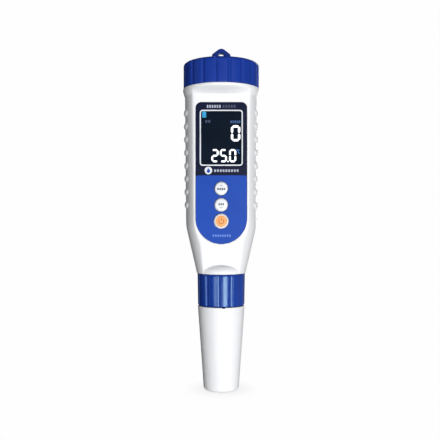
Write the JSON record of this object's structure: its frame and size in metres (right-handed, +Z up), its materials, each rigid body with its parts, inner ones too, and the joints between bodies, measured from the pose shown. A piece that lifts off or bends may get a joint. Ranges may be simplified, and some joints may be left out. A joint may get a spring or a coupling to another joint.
{
  "type": "water test pen",
  "caption": "Upright tapered water test pen: screw-on battery cap with lanyard eye, front display and keys, collar-held sensor in a pull-off protective cap.",
  "frame": {"origin": "centre of the protective cap's flat foot, on the pen's axis", "axes": "+Z up the pen towards the battery cap; the display and keys face -Y; +X is to the right of a person looking at the display"},
  "size_m": [0.0404, 0.0404, 0.18],
  "materials": {
    "white_abs": "satin moulded",
    "blue_abs": "gloss moulded",
    "panel_film": "printed film",
    "smoked_lens": "polished",
    "key_white": "satin",
    "key_orange": "satin",
    "dark_plastic": "fine texture",
    "natural_plastic": "moulded",
    "steel": "plated",
    "gold_plate": "plated",
    "rubber": "moulded",
    "lcd_glass": "polished",
    "board_green": "solder resist",
    "ribbon_film": "film",
    "graphite": "ground",
    "cell_jacket": "printed foil",
    "lead_insulation": "extruded"
  },
  "bodies": {
    "protective_cap": {"protective_cap": "white_abs"},
    "sensor": {"sensor_body": "dark_plastic", "sensing_electrodes": "graphite", "temperature_probe": "steel", "cap_o_ring": "rubber", "sensor_o_ring": "rubber", "sensor_pins": "gold_plate"},
    "collar": {"collar": "blue_abs"},
    "housing": {"housing": "white_abs", "front_panel": "panel_film", "display_lens": "smoked_lens", "lcd_glass": "lcd_glass", "lcd_backlight": "natural_plastic", "lcd_connector_strips": "rubber", "main_board": "board_green", "board_chips": "dark_plastic", "key_switches": "dark_plastic", "sensor_socket": "dark_plastic", "sensor_ribbon": "ribbon_film", "chassis": "dark_plastic", "chassis_screws": "steel", "battery_cell_left": "cell_jacket", "battery_cell_right": "cell_jacket", "lower_contact_spring": "steel", "lower_contact_plate": "steel", "battery_leads": "lead_insulation", "battery_cap_o_ring": "rubber"},
    "contact_plate": {"contact_disc": "natural_plastic", "upper_contact_spring": "steel", "upper_contact_bridge": "steel"},
    "battery_cap": {"battery_cap": "blue_abs", "contact_screw": "steel"},
    "mode_key": {"mode_key": "key_white", "mode_plunger": "natural_plastic"},
    "cal_key": {"cal_key": "key_white", "cal_plunger": "natural_plastic"},
    "power_key": {"power_key_ring": "key_white", "power_key_centre": "key_orange", "power_plunger": "natural_plastic"}
  },
  "joints": [
    {"name": "cap_pull", "type": "slide", "parent": "protective_cap", "child": "sensor", "axis": [0, 0, 1], "range_m": [0, 0.045]},
    {"name": "collar_turn", "type": "hinge", "parent": "sensor", "child": "collar", "pos_m": [0, 0, 0.05], "axis": [0, 0, -1], "range_deg": [0, 720]},
    {"name": "sensor_release", "type": "slide", "parent": "sensor", "child": "housing", "axis": [0, 0, 1], "range_m": [0, 0.005]},
    {"name": "battery_cap_rise", "type": "slide", "parent": "housing", "child": "contact_plate", "axis": [0, 0, 1], "range_m": [0, 0.005]},
    {"name": "battery_cap_turn", "type": "hinge", "parent": "contact_plate", "child": "battery_cap", "pos_m": [0, 0, 0.165], "axis": [0, 0, 1], "range_deg": [0, 720]},
    {"name": "mode_press", "type": "slide", "parent": "housing", "child": "mode_key", "axis": [0, 1, 0], "range_m": [0, 0.0006], "stiffness_N_per_m": 1000, "springref_m": -0.0006},
    {"name": "cal_press", "type": "slide", "parent": "housing", "child": "cal_key", "axis": [0, 1, 0], "range_m": [0, 0.0006], "stiffness_N_per_m": 1000, "springref_m": -0.0006},
    {"name": "power_press", "type": "slide", "parent": "housing", "child": "power_key", "axis": [0, 1, 0], "range_m": [0, 0.0006], "stiffness_N_per_m": 1000, "springref_m": -0.0006}
  ],
  "couplings": [
    {"joint": "collar_turn", "follows": "sensor_release", "rad_per_m": 2513.3},
    {"joint": "battery_cap_rise", "follows": "battery_cap_turn", "m_per_rad": 0.00039788}
  ]
}
